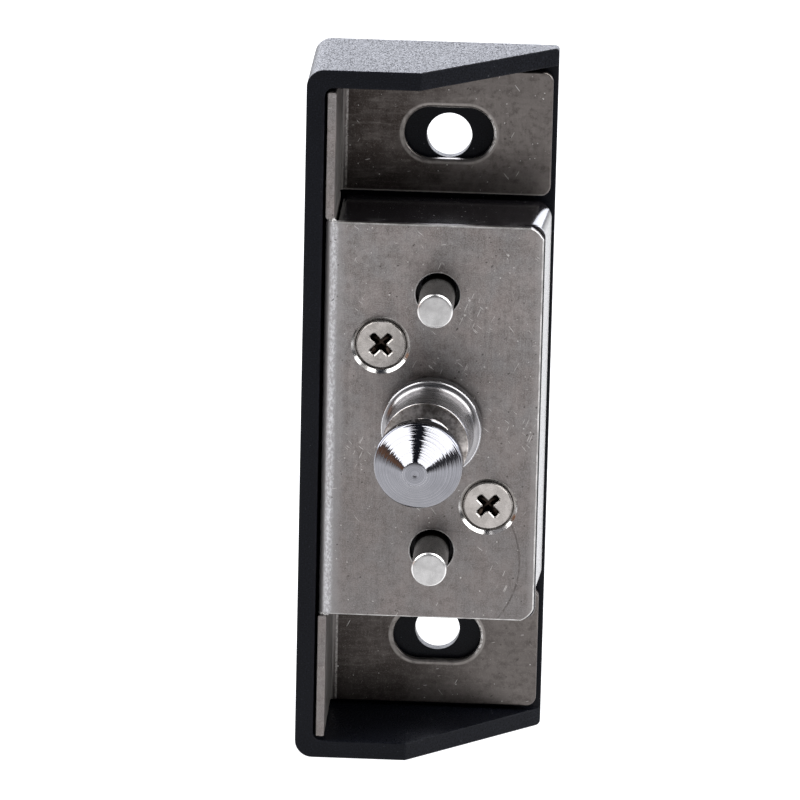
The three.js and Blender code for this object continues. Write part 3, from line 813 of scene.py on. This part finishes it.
def flattened(points, share):
    """A corner's arc, moved part of the way to the straight line between its ends."""
    start, end = points[0], points[-1]
    moved = []
    for k, point in enumerate(points):
        along = k / (len(points) - 1)
        moved.append(tuple(value + (first + (last - first) * along - value) * share
                           for value, first, last in zip(point, start, end)))
    return moved


def flat_outline():
    """The punched outline in the flat, counter-clockwise, starting on the plate's far edge."""
    plate_edge = plate_u(PLATE_RIGHT)
    tab_edge = tab_u(bracket_high.x)
    top = bracket_high.z
    half = PLATE_HALF_HEIGHT
    front_free = tray_low.y - FLANGE_FRONT
    back_free = bracket_high.y - FLANGE_FRONT
    notch_front = 0.4
    notch_back = FLANGE_LENGTH - 0.2
    upper = arc(tab_edge - TAB_CORNER, TAB_LOW + TAB_CORNER, TAB_CORNER, -90, 0, 8)
    upper += arc(tab_edge - TAB_CORNER, top - TAB_CORNER, TAB_CORNER, 0, 90, 8)
    upper += [(front_free, top), (front_free, TAB_LOW), (notch_front, TAB_LOW), (notch_front, half)]
    plate = arc(plate_edge + PLATE_CORNER, half - PLATE_CORNER, PLATE_CORNER, 90, 180, 10)
    plate = flattened(plate, 0.5)
    plate += [(u, -z) for u, z in plate[::-1]]
    lower = [(u, -z) for u, z in upper[::-1]]
    back = [(notch_back, -TAB_LOW), (notch_back, -half), (back_free, -half)]
    back += [(u, -z) for u, z in back[::-1]]
    return upper + plate + lower + back


def slot_outline(x, z):
    radius = SLOT_WIDTH / 2
    reach = SLOT_LENGTH / 2 - radius
    return (arc(x + reach, z, radius, -90, 90, 24) + arc(x - reach, z, radius, 90, 270, 24))


def to_slot(u, z, centre_u, centre_z):
    """Distance from a point to a slot's middle line."""
    reach = (SLOT_LENGTH - SLOT_WIDTH) / 2
    nearest = max(-reach, min(reach, u - centre_u))
    return math.hypot(u - centre_u - nearest, z - centre_z), centre_u + nearest


def punched_sheet():
    """The flat bracket with its holes, every edge rounded by RIM."""
    curve = bpy.data.curves.new("punched", "CURVE")
    curve.dimensions = "2D"
    curve.fill_mode = "BOTH"
    curve.extrude = (SHEET / 2 - RIM) * MM
    curve.bevel_depth = RIM * MM
    curve.bevel_resolution = 2
    curve.offset = -RIM * MM
    openings = [circle(plate_u(AXIS_X), 0, STRIKER_HOLE_R)]
    for place, side in SIDES.items():
        pin = centre_of(pin_boxes[place])
        screw = centre_of(screw_boxes[place])
        openings.append(circle(plate_u(pin.x), pin.z, EJECTOR_HOLE_R - RIM / 2))
        openings.append(circle(plate_u(screw.x), screw.z, COUNTERSINK_R - SHEET))
        openings.append(slot_outline(tab_u(SLOT_X), SLOT_RISE + side * SLOT_Z))
    for outline in [flat_outline(), *openings]:
        spline = curve.splines.new("POLY")
        spline.points.add(len(outline) - 1)
        for point, (u, z) in zip(spline.points, outline):
            point.co = (u * MM, z * MM, 0, 1)
        spline.use_cyclic_u = True
    flat = linked("bent_bracket", curve)
    bpy.context.view_layer.update()
    mesh = bpy.data.meshes.new_from_object(flat)
    bpy.data.objects.remove(flat)
    return linked("bent_bracket", mesh)


def open_rims(u, z, t):
    """Widens the countersinks, and rounds the slots' pressed rims."""
    for place, side in SIDES.items():
        screw = centre_of(screw_boxes[place])
        du, dz = u - plate_u(screw.x), z - screw.z
        distance = math.hypot(du, dz)
        if distance < COUNTERSINK_R - SHEET + 2 * RIM:
            wider = (COUNTERSINK_R - min(t, SHEET - RIM)) / distance
            return u - du + du * wider, z - dz + dz * wider, t
        slot_z = SLOT_RISE + side * SLOT_Z
        away, nearest = to_slot(u, z, tab_u(SLOT_X), slot_z)
        beyond = away - SLOT_WIDTH / 2
        if beyond < 2 * RIM:
            is_front = t > SHEET / 2
            wider = (away + (max(0, beyond) * 2.2 if is_front else 0)) / away
            return nearest + (u - nearest) * wider, slot_z + (z - slot_z) * wider, t
    return u, z, t


def near_any(boxes, radius, u, z):
    """Whether a point of the flat is within the radius of a screw's or a pin's middle."""
    middles = [centre_of(box) for box in boxes.values()]
    return any(math.hypot(u - plate_u(spot.x), z - spot.z) < radius for spot in middles)


def make_bracket():
    """Its faces have four looks: the rolled sheet, rubbed rims, countersinks, and the pin holes'
    walls painted near black as shade.
    """
    rim, countersink, wall = 1, 2, 3
    bracket = punched_sheet()
    finish_piece(bracket, "mounting_bracket", "frame", NICKEL)
    for finish in (RUBBED, SINK, HOLE_WALL_SHADE):
        bracket.data.materials.append(finish)

    def fold(bm):
        bmesh.ops.remove_doubles(bm, verts=bm.verts, dist=0.001 * MM)
        for step in range(BEND_STEPS + 1):
            share = BEND_LENGTH * step / BEND_STEPS
            for u in (-share, FLANGE_LENGTH + share):
                everything = bm.verts[:] + bm.edges[:] + bm.faces[:]
                bmesh.ops.bisect_plane(bm, geom=everything, dist=1e-7,
                                       plane_co=(u * MM, 0, 0), plane_no=(1, 0, 0))
        bmesh.ops.recalc_face_normals(bm, faces=bm.faces)
        bm.normal_update()
        for face in bm.faces:
            middle = face.calc_center_median() / MM
            if abs(face.normal.z) > 0.98:
                continue
            if near_any(screw_boxes, COUNTERSINK_R, middle.x, middle.y):
                face.material_index = countersink
            elif near_any(pin_boxes, EJECTOR_HOLE_R + 0.01, middle.x, middle.y):
                face.material_index = rim if face.normal.z < -0.5 else wall
            elif face.normal.z < -0.1 and middle.x < -BEND_LENGTH:
                face.material_index = rim
        for vertex in bm.verts:
            u, z, w = vertex.co / MM
            u, z, t = open_rims(u, z, w + SHEET / 2)
            vertex.co = Vector(bent(u, z, t)) * MM
        bmesh.ops.recalc_face_normals(bm, faces=bm.faces)

    with_mesh(bracket, fold)
    shade(bracket, math.radians(12))


def make_burr(name, side):
    """The torn lip that the punch left at a relief notch, a lumpy ridge along X."""
    rough = random.Random(11 + side)
    sides, stations = 6, 9
    rings = []
    for station in range(stations):
        share = station / (stations - 1)
        swell = math.sin(math.pi * min(0.95, max(0.05, share)))
        x = bracket_low.x + 0.05 + 1.45 * share
        y = bracket_low.y + 0.55 + 0.9 * (1 - share) ** 2 + rough.uniform(-0.10, 0.10)
        z = side * (PLATE_HALF_HEIGHT + 0.18 + rough.uniform(-0.16, 0.20))
        size = 0.12 + 0.46 * swell * rough.uniform(0.35, 1.1)
        ring = []
        for corner in range(sides):
            angle = 2 * math.pi * corner / sides
            away = size * rough.uniform(0.75, 1.15)
            ring.append((x, y + away * math.cos(angle), z + away * math.sin(angle)))
        rings.append(ring)
    burr = tube(name, rings)
    shade(burr, math.radians(50))
    finish_piece(burr, None, "frame", TORN)


# ---------------- block and hidden parts


def make_shadow_line_lip():
    """A thin black lip at the block's front, a dark piece put in to show the shadow line beside the
    plate.
    """
    outline = rounded_rectangle(PLATE_RIGHT - 3, PLATE_RIGHT + 0.2, -PLATE_HALF_HEIGHT - 0.1,
                                PLATE_HALF_HEIGHT + 0.1, [0.3, PLATE_CORNER, PLATE_CORNER, 0.3])
    back = bracket_low.y + SHEET + 0.02
    lip = prism("shadow_line_lip", outline, back, back + 0.9, along_y)
    soften_edges(lip, 0.15, 2)
    shade(lip)
    finish_piece(lip, None, "frame", PLASTIC)


def make_refined_parts():
    rows = [
        ("pin_block", "moulded_block", 0.30, "frame", "black_plastic", PLASTIC),
        ("block_rear_cover", "rear_cover", 0.20, "frame", "black_plastic", PLASTIC),
        ("striker_seat_ring", "seat_ring", 0.15, "swivel_seat", "zinc_plate", ZINC),
        ("striker_washer", "float_washer", 0.12, "striker", "zinc_plate", ZINC),
        ("striker_lock_nut", "lock_nut", 0.25, "striker", "zinc_plate", ZINC),
    ]
    for number in range(1, 5):
        rows.append((f"cover_screw_{number}", f"cover_fixing_{number}", 0.12, "frame",
                     "zinc_plate", ZINC))
    for place in SIDES:
        body = f"ejector_{place}"
        rows.append((f"threaded_insert_{place}", f"brass_insert_{place}", 0.15, "frame",
                     "insert_brass", BRASS))
        rows.append((f"ejector_clip_{place}", f"snap_ring_{place}", 0.08, body,
                     "spring_steel", SPRING))
        rows.append((f"ejector_washer_{place}", f"spring_washer_{place}", 0.10, body,
                     "zinc_plate", ZINC))
    for node, name, width, body, slot, finish in rows:
        thing = refined_copy(node, name, width)
        shade(thing)
        finish_piece(thing, node, body, finish)
        if node == "pin_block":
            thing.data.materials.append(DULL_PLASTIC)
            for face in thing.data.polygons:
                face.material_index = 1 if face.normal.y < -0.95 else 0


# ---------------- screws, pins, springs


def cross_outline(reach, half):
    """A cross with filleted wings, turned by 45 degrees."""
    corner, fillet = 0.25, 0.24
    wing = arc(reach - corner, corner - half, corner, -90, 0, 3)
    wing += arc(reach - corner, half - corner, corner, 0, 90, 3)
    wing += arc(half + fillet, half + fillet, fillet, 270, 180, 4)
    outline = []
    for quarter in range(4):
        angle = math.radians(45 + 90 * quarter)
        outline += [(x * math.cos(angle) - z * math.sin(angle),
                     x * math.sin(angle) + z * math.cos(angle)) for x, z in wing]
    return outline


def cross_recess():
    """A cross-shaped punch, turned by 45 degrees. Its wings have a chamfered mouth and narrow
    with depth."""
    reach, half = 1.92, 0.50
    levels = [(-0.2, 0.34, 1), (0.14, 0, 1), (0.5, -0.02, 1), (1.1, -0.02, 0.75), (1.5, -0.02, 0.3)]
    return tube("punch", [[(x * size, y, z * size)
                           for x, z in cross_outline(reach + grow, half + grow)]
                          for y, grow, size in levels])


def make_plate_screw(place):
    """A countersunk head with a thin chamfered rim, and a shank with plain ridges."""
    front, head_r, length = turned_size(screw_boxes[place])
    shank_r, point_r, ridge = 1.95, 1.35, 0.36
    rim_back = 0.30
    neck = rim_back + head_r - shank_r
    profile = [(0, 0.0), (head_r - 0.24, 0.0), (head_r - 0.21, 0.02), (head_r - 0.02, 0.17)]
    profile += [(head_r, 0.20), (head_r, rim_back), (shank_r, neck)]
    pitch = 0.7
    turns = int((length - 3.2) / pitch)
    start = neck + 0.4
    for turn in range(turns):
        y = start + turn * pitch
        profile += [(shank_r - 0.02, y), (shank_r - ridge, y + pitch / 2)]
    profile += [(shank_r - 0.02, start + turns * pitch), (point_r, length), (0, length)]
    screw = lathe(f"cross_screw_{place}", profile, 72, front)
    recess = cross_recess()
    recess.data.transform(Matrix.Translation(front * MM))
    cut(screw, [recess])
    shade(screw, math.radians(30))
    finish_piece(screw, f"plate_screw_{place}", "frame", SCREW)


def turned_piece(name, profile, segments, origin, tilt=0):
    """A turned piece whose own axis is its object's Y axis."""
    thing = lathe(name, profile, segments)
    thing.matrix_world = (Matrix.Translation(Vector(origin) * MM)
                          @ Matrix.Rotation(math.radians(tilt), 4, "Z"))
    return shade(thing, math.radians(28))


def make_ejector_pin(place):
    """A chamfered pin with a groove for its clip."""
    front, radius, length = turned_size(pin_boxes[place])
    clip = node_box(f"ejector_clip_{place}")
    groove = (clip[0].y - 0.15 - front.y, clip[1].y + 0.15 - front.y)
    groove_r = radius - 0.6
    chamfer = 0.26
    profile = [(0, 0.0), (groove_r, 0.0), (radius - chamfer - 0.04, 0.0)]
    profile += [(radius - chamfer, 0.012), (radius - 0.03, chamfer - 0.03), (radius, chamfer + 0.03)]
    profile += [(radius, groove[0]), (groove_r, groove[0]), (groove_r, groove[1]),
                (radius, groove[1]), (radius, length - 0.25), (radius - 0.25, length), (0, length)]
    pin = turned_piece(f"push_pin_{place}", profile, 96, front)
    finish_piece(pin, f"ejector_pin_{place}", f"ejector_{place}", PIN_STEEL)


def make_spring(place):
    """A coil from the low end to the high end of its CAD node's box."""
    front, outer_r, length = turned_size(spring_boxes[place])
    wire = 0.3
    mean_r = outer_r - wire
    turns, per_turn, sides = 5, 36, 10
    count = turns * per_turn
    rings = []
    for step in range(count + 1):
        share = step / count
        angle = 2 * math.pi * turns * share
        y = front.y + wire + (length - 2 * wire) * share
        out = Vector((math.cos(angle), 0, math.sin(angle)))
        ring = []
        for side in range(sides):
            turn = 2 * math.pi * side / sides
            point = out * (mean_r + wire * math.cos(turn))
            ring.append((front.x + point.x, y + wire * math.sin(turn), front.z + point.z))
        rings.append(ring)
    spring = tube(f"coil_spring_{place}", rings)
    spring.data.polygons.foreach_set("use_smooth", [True] * len(spring.data.polygons))
    finish_piece(spring, f"ejector_spring_{place}", "frame", SPRING)
    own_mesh(spring)


# ---------------- striker


def make_striker():
    """Turned in one piece. Distances run from the swivel along the axis to the tip."""
    to_plate = swivel.y - bracket_low.y
    collar_r, shank_r, neck_r, head_r, tip_r = 7.1, 6.1, 3.6, 6.2, 1.7
    tail_r, thread_r, root_r, tail_end = 3.0, 2.5, 2.14, 7.6
    collar_face = to_plate + 3.45
    shank_face = to_plate + SHANK_RISE
    head_back = to_plate + 18.7
    rim_front = head_back + 2.3
    tip = to_plate + 25.1
    fillet, head_round, shank_round = 0.95, 0.25, 0.28
    profile = [(0, -tip), (0.12, -tip + 0.035), (0.24, -tip + 0.03), (0.34, -tip)]
    profile += [(tip_r - 0.02, -tip), (tip_r + 0.04, -tip + 0.02), (tip_r + 0.09, -tip + 0.08)]
    cone_steps = 10
    for step in range(1, cone_steps):
        share = step / cone_steps
        profile.append((tip_r + (head_r - tip_r) * share, -tip + (tip - rim_front) * share))
    profile += [(head_r - 0.16, -rim_front - 0.13), (head_r - 0.02, -rim_front + 0.11),
                (head_r, -rim_front + 0.2)]
    profile += arc(head_r - head_round, -head_back - head_round, head_round, 0, 90, 5)
    profile += [(neck_r + 0.3, -head_back), (neck_r, -head_back + 0.3)]
    profile += [(neck_r, -shank_face - 0.3), (neck_r + 0.3, -shank_face)]
    profile += arc(shank_r - shank_round, -shank_face + shank_round, shank_round, -90, 0, 5)
    profile += arc(shank_r + fillet, -collar_face - fillet, fillet, 180, 90, 7)
    profile += [(collar_r - 0.1, -collar_face + 0.01), (collar_r + 0.06, -collar_face + 0.17),
                (collar_r + 0.07, -collar_face + 0.22)]
    profile += [(collar_r, -to_plate - 1.05), (collar_r - 0.2, -to_plate - 0.85)]
    profile += [(neck_r, -to_plate - 0.4), (tail_r, -to_plate - 0.4), (tail_r, 1.5), (thread_r, 1.5)]
    pitch, turns, start = 0.8, 6, 1.9
    for turn in range(turns):
        profile += [(thread_r, start + turn * pitch), (root_r, start + (turn + 0.5) * pitch)]
    profile += [(thread_r, start + turns * pitch), (thread_r, tail_end - 0.4),
                (thread_r - 0.4, tail_end), (0, tail_end)]
    striker = turned_piece("turned_striker", profile, 192, swivel, striker_tilt)
    finish_piece(striker, "striker_pin", "striker", STEEL)


make_tray()
make_bracket()
for place, side in SIDES.items():
    make_burr(f"torn_lip_{place}", side)
make_shadow_line_lip()
make_refined_parts()
for place in SIDES:
    make_plate_screw(place)
    make_ejector_pin(place)
    make_spring(place)
make_striker()


# ---------------- studio


def make_floor():
    """A pale floor, lit evenly round the part, that fades out to the sides and to the front."""
    half, level = 6000, tray_low.z
    corners = [(-half, -half, level), (half, -half, level), (half, half, level), (-half, half, level)]
    floor = new_object("studio_floor", corners, [[0, 1, 2, 3]])
    look = Look("pale_floor")
    front = look.math("MINIMUM", look.deep, 0.0)
    away = look.length(look.times(look.across, 1.6), front)
    glow = look.mix(look.span(away, 0.33, 0.62), (1.0, 1.0, 1.02), (0.16, 0.15, 0.145))
    look.set(Base_Color=(0.25, 0.25, 0.25), Roughness=0.9)
    look.set(Emission_Color=glow, Emission_Strength=0.97)
    floor.data.materials.append(look.material)


def make_world():
    """A bright backdrop behind the part, a dim room in front, and a warm glow low on the left."""
    world = bpy.data.worlds.new("studio")
    bpy.context.scene.world = world
    world.use_nodes = True
    sky = Nodes(world.node_tree)
    x, y, z = sky.split(sky.add("TexCoord").outputs["Generated"])
    low_left = sky.times(sky.span(x, -0.6, -0.9), sky.span(z, 0.30, 0.12))
    room = sky.mix(sky.span(z, 0.10, 0.75), (0.10, 0.10, 0.105), (0.022, 0.025, 0.036))
    room = sky.mix(low_left, room, (0.40, 0.21, 0.125))
    backdrop = sky.times(sky.span(y, 0.20, 0.60), sky.span(z, 0.80, 0.50))
    sky.put(sky.nodes["Background"].inputs["Color"], sky.mix(backdrop, room, (4.2, 4.3, 4.7)))


def softbox(name, side, low, high):
    """A large soft light on one side, from a low to a high elevation in degrees."""
    away, width, radiance = 700, 600, 5.2
    middle = math.radians((low + high) / 2)
    length = 2 * away * math.tan(math.radians((high - low) / 2))
    place = Vector((side * away * math.cos(middle), -160, away * math.sin(middle)))
    target = Vector((0, -30, 0))
    data = bpy.data.lights.new(name, "AREA")
    data.shape = "RECTANGLE"
    data.size = width * MM
    data.size_y = length * MM
    data.energy = radiance * math.pi * width * length * MM * MM
    turn = (target - place).normalized().to_track_quat("-Z", "Y").to_matrix().to_4x4()
    linked(name, data).matrix_world = Matrix.Translation(place * MM) @ turn


def make_camera():
    """A long lens from slightly above and to the right of the front."""
    yaw, pitch, roll = math.radians(2.330), math.radians(16.421), math.radians(1.294)
    distance = 953.2
    target = Vector((-4.216, 0, -2.664))
    ahead = Vector((-math.sin(yaw) * math.cos(pitch), math.cos(yaw) * math.cos(pitch),
                    -math.sin(pitch)))
    level = Vector((math.cos(yaw), math.sin(yaw), 0))
    upright = level.cross(ahead)
    right = math.cos(roll) * level + math.sin(roll) * upright
    up = right.cross(ahead)
    data = bpy.data.cameras.new("camera")
    data.sensor_width = 36
    data.lens = 295.3
    camera = linked("camera", data)
    turn = Matrix((right, up, -ahead)).transposed().to_4x4()
    camera.matrix_world = Matrix.Translation((target - ahead * distance) * MM) @ turn
    bpy.context.scene.camera = camera


make_floor()
make_world()
softbox("softbox_left", -1, 19, 67)
softbox("softbox_right", 1, 17, 77.5)
make_camera()
bpy.context.scene.view_settings.view_transform = "Standard"
